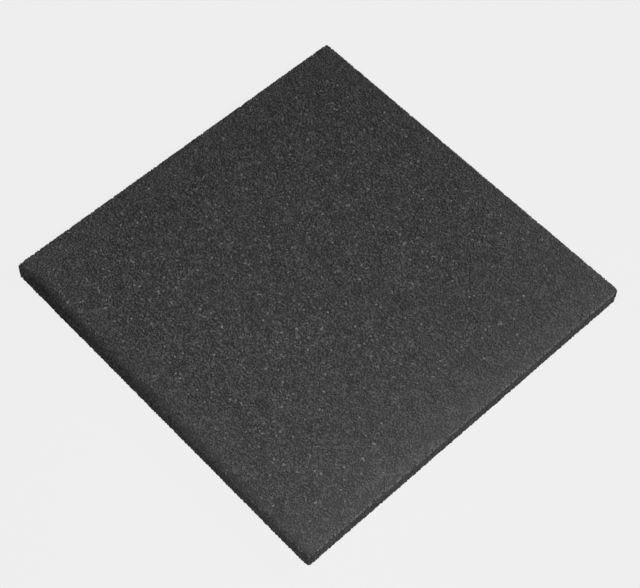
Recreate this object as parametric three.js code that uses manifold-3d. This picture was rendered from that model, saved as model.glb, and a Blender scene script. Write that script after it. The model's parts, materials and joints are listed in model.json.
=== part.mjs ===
// A square safety tile of rubber granules, bound with resin and pressed in one mould.
// Millimetres, +Z up. The origin is the centre of the underside, X and Y run along the sides.
import * as THREE from "three";
import { mergeVertices } from "three/addons/utils/BufferGeometryUtils.js";
import Module from "manifold-3d";

// Overall size. Both sides are the laying module, and neighbouring tiles butt against each other.
const TILE_LENGTH = 500;
const TILE_WIDTH = 500;
const TILE_THICKNESS = 25;

// The mould rounds the tread's rim, and breaks the rim of the underside.
const TREAD_EDGE_RADIUS = 3;
const UNDERSIDE_EDGE_RADIUS = 1;

// Radius, in plan, of the flat tread's corners. The side faces' corners are concentric with them.
const TREAD_CORNER_RADIUS = 1;

// How finely the curves are drawn. A corner of the plan gets two facets for each of its divisions.
const CORNER_DIVISIONS = 4;
const EDGE_FACETS = 6;

const CHARCOAL_RUBBER = new THREE.MeshStandardMaterial({
  name: "granulated_rubber",
  color: new THREE.Color().setRGB(0.05, 0.05, 0.05),
  roughness: 0.9,
  metalness: 0,
});

const wasm = await Module();
wasm.setup();

// The tile in plan: a rectangle with a quarter circle at each corner, drawn anticlockwise.
function planOutline() {
  const radius = TREAD_CORNER_RADIUS + TREAD_EDGE_RADIUS;
  const x = TILE_LENGTH / 2 - radius;
  const y = TILE_WIDTH / 2 - radius;
  const quarter = Math.PI / 2;
  return new THREE.Shape()
    .absarc(x, y, radius, 0, quarter)
    .absarc(-x, y, radius, quarter, 2 * quarter)
    .absarc(-x, -y, radius, 2 * quarter, 3 * quarter)
    .absarc(x, -y, radius, 3 * quarter, 4 * quarter);
}

// A slab of the tile's plan from bottom to top, with both of its rims rounded inwards.
function roundedSlab(bottom, top, edgeRadius) {
  return new THREE.ExtrudeGeometry(planOutline(), {
    depth: top - bottom - 2 * edgeRadius,
    curveSegments: CORNER_DIVISIONS,
    bevelThickness: edgeRadius,
    bevelSize: edgeRadius,
    bevelOffset: -edgeRadius,
    bevelSegments: EDGE_FACETS,
  }).translate(0, 0, bottom + edgeRadius);
}

// A closed geometry as a solid.
function solid(geometry) {
  const bare = geometry.clone().deleteAttribute("normal").deleteAttribute("uv");
  const merged = mergeVertices(bare);
  return new wasm.Manifold(
    new wasm.Mesh({
      numProp: 3,
      vertProperties: merged.getAttribute("position").array,
      triVerts: new Uint32Array(merged.index.array),
    }),
  );
}

// A solid as a geometry, with a normal of its own on each face.
function geometryOf(shape) {
  const mesh = shape.getMesh();
  const indexed = new THREE.BufferGeometry()
    .setAttribute("position", new THREE.BufferAttribute(mesh.vertProperties, 3))
    .setIndex(new THREE.BufferAttribute(mesh.triVerts, 1));
  const geometry = indexed.toNonIndexed();
  geometry.computeVertexNormals();
  return geometry;
}

// The tile is what two slabs share: one gives the tread's rim and reaches below the underside,
// the other gives the underside's rim and reaches above the tread.
function tileGeometry() {
  const treadSlab = roundedSlab(-TILE_THICKNESS, TILE_THICKNESS, TREAD_EDGE_RADIUS);
  const undersideSlab = roundedSlab(0, 2 * TILE_THICKNESS, UNDERSIDE_EDGE_RADIUS);
  return geometryOf(solid(treadSlab).intersect(solid(undersideSlab)));
}

const rubberTile = new THREE.Mesh(tileGeometry(), CHARCOAL_RUBBER);
rubberTile.name = "rubber_tile";

const tile = new THREE.Group();
tile.add(rubberTile);

export default tile;
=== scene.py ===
"""The looks of a rubber safety tile: a bed of bound rubber, and the crumbs pressed into its faces."""

import json
import logging
import math
import random
from dataclasses import dataclass, field
from enum import Enum
from typing import Any

import bmesh
import bpy
from mathutils import Matrix, Quaternion, Vector, noise

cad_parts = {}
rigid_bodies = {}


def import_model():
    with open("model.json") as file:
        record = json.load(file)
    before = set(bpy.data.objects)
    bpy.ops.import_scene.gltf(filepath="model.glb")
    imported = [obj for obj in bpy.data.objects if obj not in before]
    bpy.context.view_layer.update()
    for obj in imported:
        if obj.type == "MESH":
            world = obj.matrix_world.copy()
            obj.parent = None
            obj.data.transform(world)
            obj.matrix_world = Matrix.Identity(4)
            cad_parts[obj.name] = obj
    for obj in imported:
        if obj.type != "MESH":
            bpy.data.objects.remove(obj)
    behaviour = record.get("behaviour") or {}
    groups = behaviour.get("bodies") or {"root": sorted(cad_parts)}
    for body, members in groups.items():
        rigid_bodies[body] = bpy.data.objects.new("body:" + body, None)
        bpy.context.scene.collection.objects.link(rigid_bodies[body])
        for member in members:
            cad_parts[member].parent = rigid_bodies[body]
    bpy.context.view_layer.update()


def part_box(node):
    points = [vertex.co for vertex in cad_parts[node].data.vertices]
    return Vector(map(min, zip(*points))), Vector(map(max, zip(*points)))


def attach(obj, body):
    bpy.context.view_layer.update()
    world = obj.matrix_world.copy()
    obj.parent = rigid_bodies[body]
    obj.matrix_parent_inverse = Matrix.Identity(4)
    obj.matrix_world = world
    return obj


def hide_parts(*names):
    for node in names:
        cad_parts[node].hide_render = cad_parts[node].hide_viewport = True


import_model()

LOG = logging.getLogger("rubber_tile")
MM = 0.001
TINY = 1e-9
SLIP = 1e-6
PLACE_DIGITS = 7
CAD_NODE = "rubber_tile"
BODY = "root"
UV_MAP = "OFBake"


class Mark(Enum):
    """A value that each crumb carries, by the name of its attribute."""

    TONE = "crumb_tone"
    PRESS = "crumb_press"
    LEAN = "crumb_lean"
    CENTRE = "crumb_centre"


class Draw(Enum):
    """What is drawn at random for each crumb, each from numbers of its own."""

    GRADE = 1
    DEPTH = 2
    LIE = 3
    SIZE = 4
    MODEL = 5
    PLAIN_TONE = 6
    IS_PALE = 7
    PALE_TONE = 8
    PRESS = 9
    LEAN = 10


class Wire:
    """An output socket. Arithmetic on it adds Math nodes."""

    def __init__(self, graph: "Graph", socket: bpy.types.NodeSocket | None) -> None:
        """Keeps the socket, which is None for a node without outputs, and its graph."""
        self.graph = graph
        self.socket = socket

    def _math(self, operation: str, first: Any, second: Any) -> "Wire":
        """Adds a Math node on two numbers or wires."""
        return self.graph.node("ShaderNodeMath", {"operation": operation}, {0: first, 1: second})

    def __add__(self, other: "Wire | float") -> "Wire":
        """Sum."""
        return self._math("ADD", self, other)

    def __radd__(self, other: float) -> "Wire":
        """Sum, with the number first."""
        return self._math("ADD", other, self)

    def __sub__(self, other: "Wire | float") -> "Wire":
        """Difference."""
        return self._math("SUBTRACT", self, other)

    def __rsub__(self, other: float) -> "Wire":
        """Difference, with the number first."""
        return self._math("SUBTRACT", other, self)

    def __mul__(self, other: "Wire | float") -> "Wire":
        """Product."""
        return self._math("MULTIPLY", self, other)

    def __rmul__(self, other: float) -> "Wire":
        """Product, with the number first."""
        return self._math("MULTIPLY", other, self)

    def __truediv__(self, other: "Wire | float") -> "Wire":
        """Quotient."""
        return self._math("DIVIDE", self, other)

    def __rtruediv__(self, other: float) -> "Wire":
        """Quotient, with the number first."""
        return self._math("DIVIDE", other, self)

    def __pow__(self, other: "Wire | float") -> "Wire":
        """Power."""
        return self._math("POWER", self, other)

    def __gt__(self, other: "Wire | float") -> "Wire":
        """1 where this is greater, otherwise 0."""
        return self._math("GREATER_THAN", self, other)

    def __lt__(self, other: "Wire | float") -> "Wire":
        """1 where this is less, otherwise 0."""
        return self._math("LESS_THAN", self, other)

    def __abs__(self) -> "Wire":
        """Size without the sign."""
        return self._math("ABSOLUTE", self, 0.0)

    def sign(self) -> "Wire":
        """-1, 0 or 1."""
        return self._math("SIGN", self, 0.0)

    def at_least(self, other: "Wire | float") -> "Wire":
        """The greater of the two."""
        return self._math("MAXIMUM", self, other)

    def at_most(self, other: "Wire | float") -> "Wire":
        """The lesser of the two."""
        return self._math("MINIMUM", self, other)


class Graph:
    """One node tree, of a material, a world or a Geometry Nodes modifier."""

    def __init__(self, tree: bpy.types.NodeTree) -> None:
        """Starts with an empty tree."""
        tree.nodes.clear()
        self.tree = tree

    @staticmethod
    def _named(sockets: bpy.types.bpy_prop_collection, key: str | int) -> bpy.types.NodeSocket:
        """The socket at a place, or the first one in use that has a name."""
        if isinstance(key, int):
            return sockets[key]
        return next(socket for socket in sockets if socket.enabled and socket.name == key)

    def node(
        self,
        kind: str,
        settings: dict[str, Any] | None = None,
        inputs: dict[str | int, Any] | None = None,
        output: str | int | None = None,
    ) -> Wire:
        """Adds a node.

        Args:
            kind: The node's type.
            settings: Its properties, which are set first.
            inputs: Values or wires for its input sockets, by name or by place.
            output: The output to return. The first one in use, if none is given.

        Returns:
            That output.
        """
        made = self.tree.nodes.new(kind)
        for name, value in (settings or {}).items():
            setattr(made, name, value)
        for key, value in (inputs or {}).items():
            socket = self._named(made.inputs, key)
            if isinstance(value, Wire):
                self.tree.links.new(value.socket, socket)
            else:
                socket.default_value = value
        if not made.outputs:
            return Wire(self, None)
        if output is None:
            return Wire(self, next(socket for socket in made.outputs if socket.enabled))
        return Wire(self, self._named(made.outputs, output))

    def other_output(self, wire: Wire, name: str) -> Wire:
        """Another output of the node that a wire comes from."""
        return Wire(self, self._named(wire.socket.node.outputs, name))

    def vector(self, operation: str, first: Wire, second: Wire) -> Wire:
        """Adds a Vector Math node on two vectors."""
        return self.node("ShaderNodeVectorMath", {"operation": operation}, {0: first, 1: second})

    def split(self, vector: Wire) -> tuple[Wire, Wire, Wire]:
        """The X, Y and Z of a vector."""
        x = self.node("ShaderNodeSeparateXYZ", inputs={"Vector": vector}, output="X")
        return x, self.other_output(x, "Y"), self.other_output(x, "Z")

    def scaled(self, vector: Wire, factor: Wire) -> Wire:
        """Adds a Vector Math node that scales a vector."""
        inputs = {"Vector": vector, "Scale": factor}
        return self.node("ShaderNodeVectorMath", {"operation": "SCALE"}, inputs)

    def mixed(self, factor: Wire, first: Any, second: Any) -> Wire:
        """Adds a Mix node on two colours, which gives the second where the factor is 1."""
        inputs = {"Factor": factor, "A": first, "B": second}
        return self.node("ShaderNodeMix", {"data_type": "RGBA"}, inputs)

    def joined(self, x: Any, y: Any, z: Any) -> Wire:
        """A vector of three numbers or wires."""
        return self.node("ShaderNodeCombineXYZ", inputs={"X": x, "Y": y, "Z": z})

    def marked(self, crumbs: Wire, mark: Mark, value: Wire, kind: str = "FLOAT") -> Wire:
        """Keeps a value on each crumb, while it is still an instance."""
        return self.node(
            "GeometryNodeStoreNamedAttribute",
            {"data_type": kind, "domain": "INSTANCE"},
            {"Geometry": crumbs, "Name": mark.value, "Value": value},
        )

    def mark(self, mark: Mark, kind: str = "FLOAT") -> Wire:
        """Reads a value that was kept on each crumb."""
        return self.node("GeometryNodeInputNamedAttribute", {"data_type": kind}, {"Name": mark.value})


def held(value: Wire | float) -> Wire | float:
    """A value held between 0 and 1."""
    if isinstance(value, Wire):
        return value.at_least(0.0).at_most(1.0)
    return min(1.0, max(0.0, value))


def greater(first: Wire | float, second: Wire | float) -> Wire | float:
    """The greater of two values."""
    return first.at_least(second) if isinstance(first, Wire) else max(first, second)


def sign(value: Wire | float) -> Wire | float:
    """1 where a value is positive, and -1 where it is negative."""
    return value.sign() if isinstance(value, Wire) else math.copysign(1.0, value)


def grey(value: float) -> tuple[float, float, float, float]:
    """An opaque grey, by its linear value."""
    return value, value, value, 1.0


@dataclass(frozen=True)
class PaintedPatch:
    """A soft round patch of painted light on the tread, or of painted shade where its tone is negative.

    Its x and y are shares of the way from the tile's centre to its sides, and its reach is in metres.
    """

    x: float
    y: float
    reach: float
    tone: float

    def share(self, form: "TileForm", x: Wire, y: Wire) -> Wire:
        """What painted light it adds to the reflectance at a place; where negative, it adds painted
        shade.
        """
        off_x = abs(x - self.x * form.half)
        off_y = abs(y - self.y * form.half)
        return self.tone * form.nearness((off_x**2 + off_y**2) ** 0.5, self.reach)


# Patches of painted light, and one of painted shade at the corner at -X and -Y.
PAINTED_PATCHES = (
    PaintedPatch(-1.0, 1.0, reach=150 * MM, tone=0.011),
    PaintedPatch(1.0, -0.48, reach=130 * MM, tone=0.007),
    PaintedPatch(-1.0, -1.0, reach=100 * MM, tone=-0.008),
)


@dataclass(frozen=True)
class Cloud:
    """Soft noise, by the width of its spots in metres and by how much finer detail it has."""

    size: float
    detail: float
    roughness: float = 0.6

    def drawn(self, graph: Graph, place: Wire) -> Wire:
        """Adds the noise to a material, as values about 0."""
        inputs = {
            "Vector": place,
            "Scale": 1 / self.size,
            "Detail": self.detail,
            "Roughness": self.roughness,
        }
        return graph.node("ShaderNodeTexNoise", inputs=inputs, output="Fac") - 0.5


@dataclass(frozen=True)
class RubberFinish:
    """Matt black rubber, from a dark reflectance to a pale one, linear as the painted sheens are.

    A tone is a share of the way between the two, and the side faces keep only part of it, as
    painted shade. The arris is worn pale, and carries a painted highlight at -Y, where a painted
    sheen lies too, and a fainter painted sheen follows the whole rim. A band of painted shade runs
    along the edge at -X, and is deeper on the side face below it. It is darkest towards +Y, and
    ends short of the corner there.
    """

    name: str
    dark: float
    pale: float
    mottle: float
    even_tone: float | None = None
    shaded_side_share: float = 0.66
    worn_tone: float = 0.1
    painted_arris_highlight: float = 0.42
    worn_width: float = 2.4 * MM
    worn_reach: float = 3.0
    painted_sheen: float = 0.016
    painted_sheen_power: float = 3.0
    rim_painted_sheen: float = 0.004
    band_width: float = 12 * MM
    band_power: float = 0.5
    band_dark: float = 0.2
    band_fade: float = 0.19
    side_shade_band: float = 2.6
    band_end: float = 28 * MM
    mottles: Cloud = Cloud(14 * MM, 3.0)
    flecks: Cloud = Cloud(2.2 * MM, 1.0)
    pores: Cloud = Cloud(0.5 * MM, 2.0)
    pore_depth: float = 0.08 * MM
    roughness: float = 0.8
    fleck_roughness: float = 0.3
    rim_roughness: float = 0.72
    worn_roughness: float = 0.5
    shine: float = 0.3

    def material(self, form: "TileForm") -> bpy.types.Material:
        """Makes the material.

        Args:
            form: The tile's form, which says where its side faces, its rims and its edges are.

        Returns:
            The material. Where it has no even tone, each crumb carries a tone of its own.
        """
        made = bpy.data.materials.new(self.name)
        made.use_nodes = True
        graph = Graph(made.node_tree)
        place = graph.node("ShaderNodeTexCoord", output="Object")
        x, y, z = graph.split(place)
        upper = form.upper_share(z)
        worn = form.nearness(form.inside(x, y), self.worn_width)
        worn = worn * (upper * self.worn_reach).at_most(1.0)
        flecks = self.flecks.drawn(graph, place)
        tone = self.even_tone
        if tone is None:
            tone = graph.node("ShaderNodeAttribute", {"attribute_name": Mark.TONE.value}, output="Fac")
        tone = tone + (self.mottles.drawn(graph, place) + flecks) * self.mottle
        # Painted shade: the side faces keep only part of the tone.
        tone = tone * (self.shaded_side_share + (1 - self.shaded_side_share) * upper)
        # Painted sheen at -Y and along the rim, and soft patches of painted light and shade, on the
        # tread only.
        tone = tone + self._painted_light_and_shade(form, x, y) * upper / (self.pale - self.dark)
        # The arris is worn paler all round, and a painted highlight is added on it at -Y.
        arris = self.worn_tone + self.painted_arris_highlight * form.nearness(y + form.half, self.worn_width)
        tone = tone + arris * worn
        colour = graph.mixed(tone, grey(self.dark), grey(self.pale))
        # A band of painted shade along the edge at -X mixes the colour towards black.
        colour = graph.mixed(self._painted_shade_band(form, x, y, upper), colour, grey(0.0))
        smooth = (self.roughness - self.rim_roughness) * form.near_rim(x, y)
        smooth = smooth + (self.rim_roughness - self.worn_roughness) * worn
        pores = self.pores.drawn(graph, place)
        normal = graph.node(
            "ShaderNodeBump",
            inputs={"Height": pores, "Distance": self.pore_depth, "Strength": 1.0},
        )
        surface = graph.node(
            "ShaderNodeBsdfPrincipled",
            inputs={
                "Base Color": colour,
                "Roughness": self.roughness + flecks * self.fleck_roughness - smooth,
                "Specular IOR Level": self.shine,
                "Normal": normal,
            },
        )
        graph.node("ShaderNodeOutputMaterial", inputs={"Surface": surface})
        return made

    def _painted_light_and_shade(self, form: "TileForm", x: Wire, y: Wire) -> Wire:
        """How much painted sheen, painted light and painted shade add to the tread's reflectance."""
        added = self.painted_sheen * form.near_minus_y(y) ** self.painted_sheen_power
        added = added + self.rim_painted_sheen * form.wide_rim(x, y)
        for patch in PAINTED_PATCHES:
            added = added + patch.share(form, x, y)
        return added

    def _painted_shade_band(self, form: "TileForm", x: Wire, y: Wire, upper: Wire) -> Wire:
        """How much of the colour the band of painted shade along the edge at -X takes away."""
        band = form.nearness(x + form.half, self.band_width) ** self.band_power
        band = band * (self.band_dark + self.band_fade * y / form.half)
        band = band * (1 - form.nearness(form.half - y, self.band_end))
        return band * (self.side_shade_band + (1 - self.side_shade_band) * upper)


# The bed's tone is darker than the crumbs', which paints shade into the gaps between them.
BED_FINISH = RubberFinish("bound_rubber_bed", dark=0.01, pale=0.05, mottle=0.8, even_tone=0.26)
CRUMB_FINISH = RubberFinish("rubber_crumb", dark=0.015, pale=0.16, mottle=0.25)


class Cut(Enum):
    """How the rubber was cut, which gives a crumb its form: sides, then length, width and thickness."""

    GRAIN = (4, 1.0, 1.0, 0.9)
    CHIP = (5, 1.1, 1.0, 0.6)
    SLIVER = (4, 1.7, 0.75, 0.7)


@dataclass(frozen=True)
class CrumbGrade:
    """One grade of crumb rubber, which makes one piece: a joined mesh of loose crumbs.

    Size and spread are in metres and tilt is in degrees. The fields from radius on are for a crumb
    about 1 unit across, before its cut stretches it.
    """

    name: str
    cut: Cut
    number: int
    size: float
    spread: float
    tilt: float
    forms: int = 8
    radius: float = 0.62
    least_radius: float = 0.42
    height: float = 0.95
    raggedness: float = 0.16


GRADES = (
    CrumbGrade("crumbs_grains", Cut.GRAIN, 0, 2.5 * MM, 0.65 * MM, 90.0),
    CrumbGrade("crumbs_fines", Cut.GRAIN, 1, 2.1 * MM, 0.4 * MM, 90.0),
    CrumbGrade("crumbs_chips", Cut.CHIP, 2, 2.9 * MM, 0.85 * MM, 22.0),
    CrumbGrade("crumbs_slivers", Cut.SLIVER, 3, 2.25 * MM, 0.65 * MM, 22.0),
)


def put_in_order(shape: bmesh.types.BMesh) -> None:
    """Sorts the points, edges and faces of a bmesh by place.

    An extrusion makes its parts in an order that differs from run to run, and the scatter of the
    crumbs follows the faces' order.
    """

    def place(point: bmesh.types.BMVert) -> tuple[float, ...]:
        """Where a point is."""
        return point.co.to_tuple(PLACE_DIGITS)

    def corners(part: bmesh.types.BMEdge | bmesh.types.BMFace) -> list[int]:
        """The numbers of the points of an edge or a face."""
        return sorted(vert.index for vert in part.verts)

    for parts, key in ((shape.verts, place), (shape.edges, corners), (shape.faces, corners)):
        ranks = {part: rank for rank, part in enumerate(sorted(parts, key=key))}
        parts.sort(key=ranks.get)
        parts.index_update()


@dataclass
class TileForm:
    """The tile's outer form, from the CAD part's box.

    The tread eases down a little towards its rim, and further towards the side at -X. The methods
    from inside to unfolded take places as numbers or as wires, and give the same kind of value.
    """

    low: Vector
    high: Vector
    tread_edge_radius: float = 3 * MM
    underside_edge_radius: float = 1 * MM
    corner_radius: float = 4 * MM
    ease_width: float = 14 * MM
    ease_depth: float = 0.2 * MM
    slope_depth: float = 1.1 * MM
    minus_y_width: float = 200 * MM
    rim_width: float = 50 * MM
    rim_firmness: float = 0.7
    minus_y_firmness: float = 0.75
    edge_rings: int = 4

    @property
    def half(self) -> float:
        """Half of the tile's side."""
        return (self.high.x - self.low.x) / 2

    @property
    def core(self) -> float:
        """Half of the side of the square that lies within the corners' curves."""
        return self.half - self.corner_radius

    @property
    def shoulder(self) -> float:
        """The height at which the side faces end and the tread's rounded rim starts."""
        return self.high.z - self.tread_edge_radius

    def profile(self, sunk: float, rise: float) -> list[tuple[float, float]]:
        """The section from the tread's rim down to the underside's.

        Args:
            sunk: How far the surface lies inside the tile's faces.
            rise: The greatest height between two rings on the side faces.

        Returns:
            The rings, each with its distance inside the side face and its height.
        """
        rings = []
        for step in range(self.edge_rings + 1):
            angle = math.pi / 2 * step / self.edge_rings
            inset = self.tread_edge_radius * (1 - math.sin(angle))
            drop = self.tread_edge_radius * (1 - math.cos(angle))
            rings.append((inset, self.high.z - sunk - drop))
        shoulder = rings[-1][1]
        foot = self.low.z + self.underside_edge_radius
        steps = math.ceil((shoulder - foot) / rise)
        rings += [(0.0, shoulder + (foot - shoulder) * step / steps) for step in range(1, steps + 1)]
        rings.append((self.underside_edge_radius - min(sunk, self.underside_edge_radius), self.low.z))
        return rings

    def skin(self, spacing: float, sunk: float) -> bmesh.types.BMesh:
        """The tread and the side faces as one even grid, open below.

        Args:
            spacing: About how far apart its lines are.
            sunk: How far it lies inside the tile's faces.

        Returns:
            The grid.
        """
        core = self.core - sunk
        columns = round(2 * core / spacing)
        shape = bmesh.new()
        bmesh.ops.create_grid(
            shape,
            x_segments=columns,
            y_segments=columns,
            size=core,
            matrix=Matrix.Translation((0, 0, self.high.z - sunk)),
        )
        edge = [e for e in shape.edges if e.is_boundary]
        for inset, height in self.profile(sunk, spacing):
            ring = bmesh.ops.extrude_edge_only(shape, edges=edge)["geom"]
            edge = [e for e in ring if isinstance(e, bmesh.types.BMEdge)]
            for vert in (v for v in ring if isinstance(v, bmesh.types.BMVert)):
                vert.co = self._on_ring(vert.co, core, self.corner_radius - inset, height)
        for vert in shape.verts:
            vert.co.z -= self.ease(*vert.co)
        put_in_order(shape)
        bmesh.ops.recalc_face_normals(shape, faces=shape.faces)
        return shape

    @staticmethod
    def _on_ring(point: Vector, core: float, reach: float, height: float) -> Vector:
        """Moves a point outwards from the square core, square to the side or across a corner."""
        outward = Vector(sign(c) if abs(c) > core - SLIP else 0 for c in point.xy)
        plan = Vector(max(-core, min(core, c)) for c in point.xy) + outward.normalized() * reach
        return Vector((*plan, height))

    def inside(self, x: Wire | float, y: Wire | float) -> Wire | float:
        """How far a point lies inside the nearest side face."""
        return self.half - greater(abs(x), abs(y))

    @staticmethod
    def nearness(distance: Wire | float, width: float) -> Wire | float:
        """0 as far off as a width, and rising to 1 where the distance is 0."""
        return held(1 - distance / width)

    def near_rim(self, x: Wire | float, y: Wire | float) -> Wire | float:
        """0 on most of the tread, and rising to 1 at its rim."""
        return self.nearness(self.inside(x, y), self.ease_width)

    def wide_rim(self, x: Wire | float, y: Wire | float) -> Wire | float:
        """0 on most of the tread, and rising to 1 at a side and to 2 at a corner."""
        along_x = self.nearness(self.half - abs(x), self.rim_width)
        return along_x + self.nearness(self.half - abs(y), self.rim_width)

    def near_minus_y(self, y: Wire | float) -> Wire | float:
        """0 on most of the tread, and rising to 1 at the side at -Y, where it is denser and a painted
        sheen makes it paler.
        """
        return self.nearness(y + self.half, self.minus_y_width)

    def firmness(self, x: Wire | float, y: Wire | float) -> Wire | float:
        """0 on most of the tread, and rising where the rubber is pressed harder: the rim and -Y."""
        at_rim = self.rim_firmness * held(self.wide_rim(x, y))
        at_minus_y = self.minus_y_firmness * self.near_minus_y(y)
        return 1 - (1 - at_rim) * (1 - at_minus_y)

    def upper_share(self, z: Wire | float) -> Wire | float:
        """0 on the side faces, and rising to 1 at the tread."""
        return held((z - self.shoulder) / self.tread_edge_radius)

    def ease(self, x: Wire | float, y: Wire | float, z: Wire | float) -> Wire | float:
        """How far the tread lies lower at a point for being near its rim. It is 0 on the side faces."""
        drop = self.ease_depth * self.near_rim(x, y) ** 2
        drop = drop + self.slope_depth * self.nearness(x + self.half, self.ease_width) ** 2
        return drop * self.upper_share(z)

    def unfolded(
        self, x: Wire | float, y: Wire | float, z: Wire | float
    ) -> tuple[Wire | float, Wire | float]:
        """Where a point lies on the faces laid out flat, as a place on the map from 0 to 1."""
        drop = self.high.z - z
        along_x = abs(x) > abs(y)
        u = x + sign(x) * drop * along_x
        v = y + sign(y) * drop * (1 - along_x)
        width = 2 * (self.half + self.high.z - self.low.z)
        return u / width + 0.5, v / width + 0.5


def new_piece(
    name: str, shape: bmesh.types.BMesh, finish: bpy.types.Material | None
) -> bpy.types.Object:
    """Makes an object of a bmesh, which it frees, and puts it in the scene."""
    mesh = bpy.data.meshes.new(name)
    shape.to_mesh(mesh)
    shape.free()
    mesh.materials.append(finish)
    piece = bpy.data.objects.new(name, mesh)
    bpy.context.scene.collection.objects.link(piece)
    return piece


@dataclass
class Bed:
    """The bound rubber that shows between the crumbs, and the plain underside."""

    form: TileForm
    spacing: float = 3 * MM
    sunk: float = 1.0 * MM
    relief: float = 0.35 * MM
    lift: float = 0.5 * MM
    lump_size: float = 3.2 * MM

    def build(self, finish: bpy.types.Material) -> bpy.types.Object:
        """Builds the bed's closed mesh."""
        shape = self.form.skin(self.spacing, self.sunk)
        self._roughen(shape)
        rim = [e for e in shape.edges if e.is_boundary]
        bmesh.ops.edgeloop_fill(shape, edges=rim)
        bmesh.ops.recalc_face_normals(shape, faces=shape.faces)
        layer = shape.loops.layers.uv.new(UV_MAP)
        for face in shape.faces:
            for loop in face.loops:
                loop[layer].uv = self.form.unfolded(*loop.vert.co)
        return new_piece("bound_bed", shape, finish)

    def _roughen(self, shape: bmesh.types.BMesh) -> None:
        """Sinks each point by how far it lies from the nearest of many scattered lumps.

        Where the rubber is pressed harder, the bed lies less deep.
        """
        shape.normal_update()
        for vert in shape.verts:
            if vert.is_boundary:
                continue
            apart = noise.voronoi(vert.co / self.lump_size)[0][0]
            raised = self.lift * self.form.firmness(*vert.co.xy)
            vert.co -= vert.normal * (self.relief * min(1.0, apart) - raised)


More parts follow.
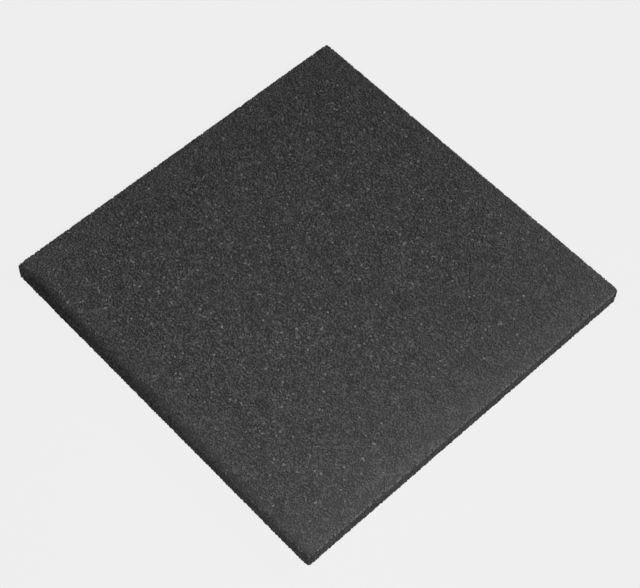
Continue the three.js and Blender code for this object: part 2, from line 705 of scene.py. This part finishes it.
@dataclass
class Crumbs:
    """The crumbs pressed into the tread and the side faces."""

    form: TileForm
    apart: float = 1.9 * MM
    sunk: tuple[float, float] = (0.6 * MM, 1.4 * MM)
    pressed: tuple[float, float] = (0.05 * MM, 0.35 * MM)
    lean: float = 0.18
    plain_tone: tuple[float, float] = (0.11, 0.32)
    pale_tone: tuple[float, float] = (0.36, 0.76)
    pale_share: float = 0.05
    face_spacing: float = 4 * MM
    seed: int = 11
    face: bpy.types.Object = field(init=False)

    def __post_init__(self) -> None:
        """Makes the mould's face, which the crumbs are scattered on."""
        skin = self.form.skin(self.face_spacing, sunk=0.0)
        self.face = new_piece("mould_face", skin, None)

    def models(self, grade: CrumbGrade) -> bpy.types.Collection:
        """Makes a few crumbs of one grade, about 1 unit across, to pick from."""
        draw = random.Random(grade.name)
        kept = bpy.data.collections.new(grade.name)
        sides, length, width, thickness = grade.cut.value
        for number in range(grade.forms):
            shape = bmesh.new()
            bmesh.ops.create_cone(
                shape,
                cap_ends=True,
                segments=sides,
                radius1=grade.radius,
                radius2=draw.uniform(grade.least_radius, grade.radius),
                depth=grade.height,
            )
            bmesh.ops.scale(shape, vec=(length, width, thickness), verts=shape.verts)
            for vert in shape.verts:
                vert.co += Vector(draw.uniform(-1, 1) for _ in range(3)) * grade.raggedness
            bmesh.ops.triangulate(shape, faces=shape.faces)
            mesh = bpy.data.meshes.new(f"{grade.name}_{number}")
            shape.to_mesh(mesh)
            shape.free()
            kept.objects.link(bpy.data.objects.new(mesh.name, mesh))
        return kept

    def scatter(
        self, grade: CrumbGrade, models: bpy.types.Collection, finish: bpy.types.Material
    ) -> bpy.types.NodeTree:
        """Draws up how one grade of crumbs lies on the mould's face.

        Args:
            grade: The grade of crumb.
            models: The crumbs to pick from.
            finish: Their material.

        Returns:
            A tree for a Geometry Nodes modifier.
        """
        tree = bpy.data.node_groups.new(grade.name, "GeometryNodeTree")
        for way in ("INPUT", "OUTPUT"):
            tree.interface.new_socket("Geometry", in_out=way, socket_type="NodeSocketGeometry")
        graph = Graph(tree)
        crumbs = self._laid(graph, graph.node("NodeGroupInput"), grade, models)
        crumbs = self._marked(graph, crumbs)
        crumbs = graph.node("GeometryNodeRealizeInstances", inputs={"Geometry": crumbs})
        crumbs = self._pressed(graph, crumbs)
        crumbs = self._mapped(graph, crumbs)
        crumbs = graph.node(
            "GeometryNodeSetMaterial", inputs={"Geometry": crumbs, "Material": finish}
        )
        graph.node("NodeGroupOutput", inputs={0: crumbs})
        return tree

    def _draw(self, graph: Graph, draw: Draw, kind: str, low: Any, high: Any) -> Wire:
        """A random value for each crumb."""
        return graph.node(
            "FunctionNodeRandomValue",
            {"data_type": kind},
            {"Min": low, "Max": high, "Seed": self.seed + draw.value},
        )

    def _laid(
        self, graph: Graph, face: Wire, grade: CrumbGrade, models: bpy.types.Collection
    ) -> Wire:
        """Lays one grade of crumbs on the face, a little sunk.

        Args:
            graph: The tree to draw in.
            face: The mould's face.
            grade: The grade of crumb.
            models: The crumbs to pick from.

        Returns:
            The crumbs, as instances.
        """
        points = graph.node(
            "GeometryNodeDistributePointsOnFaces",
            {"distribute_method": "POISSON"},
            {
                "Mesh": face,
                "Distance Min": self.apart,
                "Density Max": 1.0 / self.apart**2,
                "Seed": self.seed,
            },
        )
        depth = self._draw(graph, Draw.DEPTH, "FLOAT", *self.sunk)
        inwards = graph.scaled(graph.other_output(points, "Normal"), depth * -1.0)
        settled = graph.node(
            "GeometryNodeSetPosition", inputs={"Geometry": points, "Offset": inwards}
        )
        mine = graph.node(
            "FunctionNodeCompare",
            {"data_type": "INT", "operation": "EQUAL"},
            {"A": self._draw(graph, Draw.GRADE, "INT", 0, len(GRADES) - 1), "B": grade.number},
        )
        tilt = math.radians(grade.tilt)
        lie = self._draw(
            graph, Draw.LIE, "FLOAT_VECTOR", (-tilt, -tilt, -math.pi), (tilt, tilt, math.pi)
        )
        rotation = graph.node(
            "FunctionNodeRotateRotation",
            {"rotation_space": "LOCAL"},
            {
                "Rotation": graph.other_output(points, "Rotation"),
                "Rotate By": graph.node("FunctionNodeEulerToRotation", inputs={"Euler": lie}),
            },
        )
        least, most = grade.size - grade.spread, grade.size + grade.spread
        family = graph.node(
            "GeometryNodeCollectionInfo",
            inputs={"Collection": models, "Separate Children": True, "Reset Children": True},
        )
        return graph.node(
            "GeometryNodeInstanceOnPoints",
            inputs={
                "Points": settled,
                "Selection": mine,
                "Instance": family,
                "Pick Instance": True,
                "Instance Index": self._draw(graph, Draw.MODEL, "INT", 0, grade.forms - 1),
                "Rotation": rotation,
                "Scale": self._draw(graph, Draw.SIZE, "FLOAT_VECTOR", (least,) * 3, (most,) * 3),
            },
        )

    def _marked(self, graph: Graph, crumbs: Wire) -> Wire:
        """Gives each crumb its tone, and how it will be pressed."""
        centre = graph.node("GeometryNodeInputPosition")
        x, y, _ = graph.split(centre)
        loose = 1 - self.form.firmness(x, y)
        even = sum(self.plain_tone) / 2
        plain = self._draw(graph, Draw.PLAIN_TONE, "FLOAT", *self.plain_tone)
        plain = even + (plain - even) * loose
        pale = self._draw(graph, Draw.PALE_TONE, "FLOAT", *self.pale_tone)
        is_pale = self._draw(graph, Draw.IS_PALE, "FLOAT", 0.0, 1.0) < self.pale_share * loose
        crumbs = graph.marked(crumbs, Mark.TONE, plain + is_pale * (pale - plain))
        press = self._draw(graph, Draw.PRESS, "FLOAT", *self.pressed) * loose
        crumbs = graph.marked(crumbs, Mark.PRESS, press)
        lean = self._draw(graph, Draw.LEAN, "FLOAT_VECTOR", (-self.lean,) * 3, (self.lean,) * 3)
        lean = graph.scaled(lean, loose)
        crumbs = graph.marked(crumbs, Mark.LEAN, lean, "FLOAT_VECTOR")
        return graph.marked(crumbs, Mark.CENTRE, centre, "FLOAT_VECTOR")

    def _pressed(self, graph: Graph, crumbs: Wire) -> Wire:
        """Presses the crumbs into the tile's form, each a little short of it and leaning."""
        form = self.form
        place = graph.node("GeometryNodeInputPosition")
        off_centre = graph.vector("SUBTRACT", place, graph.mark(Mark.CENTRE, "FLOAT_VECTOR"))
        slant = graph.vector("DOT_PRODUCT", graph.mark(Mark.LEAN, "FLOAT_VECTOR"), off_centre)
        press = (graph.mark(Mark.PRESS) + slant).at_least(0.0)
        x, y, z = graph.split(place)
        over_x = (abs(x) - form.core).at_least(0.0)
        over_y = (abs(y) - form.core).at_least(0.0)
        plan = (over_x**2 + over_y**2) ** 0.5
        # The rim's curve starts this far outside the core, and is a quarter circle from there.
        flat = plan.at_most(form.corner_radius - form.tread_edge_radius)
        out = plan - flat
        up = (z - form.shoulder).at_least(0.0)
        reach = ((out**2 + up**2) ** 0.5).at_least(TINY)
        hold = ((form.tread_edge_radius - press) / reach).at_most(1.0)
        shrink = (flat + out * hold) / plan.at_least(TINY)
        in_x = sign(x) * (abs(x).at_most(form.core) + over_x * shrink)
        in_y = sign(y) * (abs(y).at_most(form.core) + over_y * shrink)
        in_z = (z.at_most(form.shoulder) + up * hold).at_least(form.low.z + press)
        settled = graph.joined(in_x, in_y, in_z - form.ease(in_x, in_y, in_z))
        return graph.node(
            "GeometryNodeSetPosition", inputs={"Geometry": crumbs, "Position": settled}
        )

    def _mapped(self, graph: Graph, crumbs: Wire) -> Wire:
        """Gives the crumbs a map of the tile's faces laid out flat, as the bed has."""
        u, v = self.form.unfolded(*graph.split(graph.node("GeometryNodeInputPosition")))
        return graph.node(
            "GeometryNodeStoreNamedAttribute",
            {"data_type": "FLOAT2", "domain": "CORNER"},
            {"Geometry": crumbs, "Name": UV_MAP, "Value": graph.joined(u, v, 0.0)},
        )

    def build(self, grade: CrumbGrade, finish: bpy.types.Material) -> bpy.types.Object:
        """Scatters one grade of crumbs and joins them as one mesh.

        Args:
            grade: The grade of crumb.
            finish: Their material.

        Returns:
            The piece, with no modifier left on it.
        """
        models = self.models(grade)
        scatter = self.face.modifiers.new("scatter", "NODES")
        scatter.node_group = self.scatter(grade, models, finish)
        depsgraph = bpy.context.evaluated_depsgraph_get()
        mesh = bpy.data.meshes.new_from_object(
            self.face.evaluated_get(depsgraph), preserve_all_data_layers=True, depsgraph=depsgraph
        )
        mesh.name = grade.name
        for mark in (Mark.PRESS, Mark.LEAN, Mark.CENTRE):
            mesh.attributes.remove(mesh.attributes[mark.value])
        self.face.modifiers.clear()
        for model in list(models.objects):
            bpy.data.objects.remove(model)
        bpy.data.collections.remove(models)
        piece = bpy.data.objects.new(grade.name, mesh)
        bpy.context.scene.collection.objects.link(piece)
        return piece

    def clear_away(self) -> None:
        """Removes the mould's face."""
        bpy.data.objects.remove(self.face)


@dataclass
class Tile:
    """The whole tile, which stands for the CAD node."""

    form: TileForm

    def build(self) -> list[bpy.types.Object]:
        """Builds the bed and each grade of crumbs."""
        pieces = [Bed(self.form).build(BED_FINISH.material(self.form))]
        finish = CRUMB_FINISH.material(self.form)
        crumbs = Crumbs(self.form)
        pieces += [crumbs.build(grade, finish) for grade in GRADES]
        crumbs.clear_away()
        return pieces

    def dress(self, pieces: list[bpy.types.Object]) -> None:
        """Puts the pieces on the tile's body, and hides the CAD part that they stand for."""
        for piece in pieces:
            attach(piece, BODY)
        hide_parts(CAD_NODE)


@dataclass(frozen=True)
class Floor:
    """A wide pale floor, mostly of its own even light."""

    size: float = 30.0
    level: float = -0.1 * MM
    glow: float = 0.835
    albedo: float = 0.02

    def build(self) -> bpy.types.Object:
        """Builds the floor."""
        finish = bpy.data.materials.new("studio_floor")
        finish.use_nodes = True
        graph = Graph(finish.node_tree)
        surface = graph.node(
            "ShaderNodeBsdfPrincipled",
            inputs={
                "Base Color": grey(self.albedo),
                "Roughness": 1.0,
                "Specular IOR Level": 0.0,
                "Emission Color": grey(1.0),
                "Emission Strength": self.glow,
            },
        )
        graph.node("ShaderNodeOutputMaterial", inputs={"Surface": surface})
        shape = bmesh.new()
        bmesh.ops.create_grid(
            shape,
            x_segments=1,
            y_segments=1,
            size=self.size / 2,
            matrix=Matrix.Translation((0, 0, self.level)),
        )
        floor = new_piece("studio_floor", shape, finish)
        return floor


@dataclass(frozen=True)
class Lamp:
    """A large square lamp that faces the tile."""

    name: str
    place: Vector
    size: float
    power: float

    def build(self) -> bpy.types.Object:
        """Builds the lamp."""
        data = bpy.data.lights.new(self.name, "AREA")
        data.shape = "SQUARE"
        data.size = self.size
        data.energy = self.power
        lamp = bpy.data.objects.new(self.name, data)
        lamp.location = self.place
        lamp.rotation_euler = (-self.place).to_track_quat("-Z", "Y").to_euler()
        lamp.visible_camera = False
        bpy.context.scene.collection.objects.link(lamp)
        return lamp


@dataclass(frozen=True)
class Studio:
    """Plain soft light: two large lamps, and a surround that only the camera sees."""

    lamps: tuple[Lamp, ...] = (
        Lamp("near_lamp", Vector((-0.318, -0.318, 0.779)), size=0.4, power=7.2),
        Lamp("far_lamp", Vector((2.625, -1.516, 1.75)), size=1.2, power=124.0),
    )
    backdrop: float = 0.855

    def build(self) -> None:
        """Builds the lamps and the surround, which is as pale as the floor."""
        for lamp in self.lamps:
            lamp.build()
        world = bpy.data.worlds.new("studio")
        world.use_nodes = True
        bpy.context.scene.world = world
        graph = Graph(world.node_tree)
        seen = graph.node("ShaderNodeLightPath", output="Is Camera Ray")
        sky = graph.node("ShaderNodeBackground", inputs={"Strength": seen * self.backdrop})
        graph.node("ShaderNodeOutputWorld", inputs={"Surface": sky})


@dataclass(frozen=True)
class PhotoCamera:
    """The camera, where the photograph's outline of the tile puts it."""

    place: Vector = Vector((-0.7677, -0.7406, 1.7305))
    azimuth: float = 46.18
    elevation: float = 58.54
    roll: float = -3.37
    focal_pixels: float = 1717.0
    picture_width: float = 640.0
    sensor_width: float = 36.0

    def build(self) -> bpy.types.Object:
        """Builds the camera and makes it the scene's."""
        data = bpy.data.cameras.new("photo_camera")
        data.sensor_width = self.sensor_width
        data.lens = self.focal_pixels * self.sensor_width / self.picture_width
        camera = bpy.data.objects.new("photo_camera", data)
        around, down = math.radians(self.azimuth), math.radians(self.elevation)
        ahead = Vector(
            (math.sin(around) * math.cos(down), math.cos(around) * math.cos(down), -math.sin(down))
        )
        camera.rotation_mode = "QUATERNION"
        level = ahead.to_track_quat("-Z", "Y")
        camera.rotation_quaternion = Quaternion(ahead, math.radians(self.roll)) @ level
        camera.location = self.place
        bpy.context.scene.collection.objects.link(camera)
        bpy.context.scene.camera = camera
        return camera


def main() -> None:
    """Builds the tile and the studio."""
    logging.basicConfig(level=logging.INFO, format="%(name)s: %(message)s")
    bpy.context.scene.view_settings.view_transform = "Standard"
    PhotoCamera().build()
    tile = Tile(TileForm(*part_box(CAD_NODE)))
    pieces = tile.build()
    tile.dress(pieces)
    Floor().build()
    Studio().build()
    for piece in pieces:
        triangles = sum(len(face.vertices) - 2 for face in piece.data.polygons)
        maps = [layer.name for layer in piece.data.uv_layers]
        LOG.info("%s: %d triangles, maps %s", piece.name, triangles, maps)


if __name__ == "__main__":
    main()
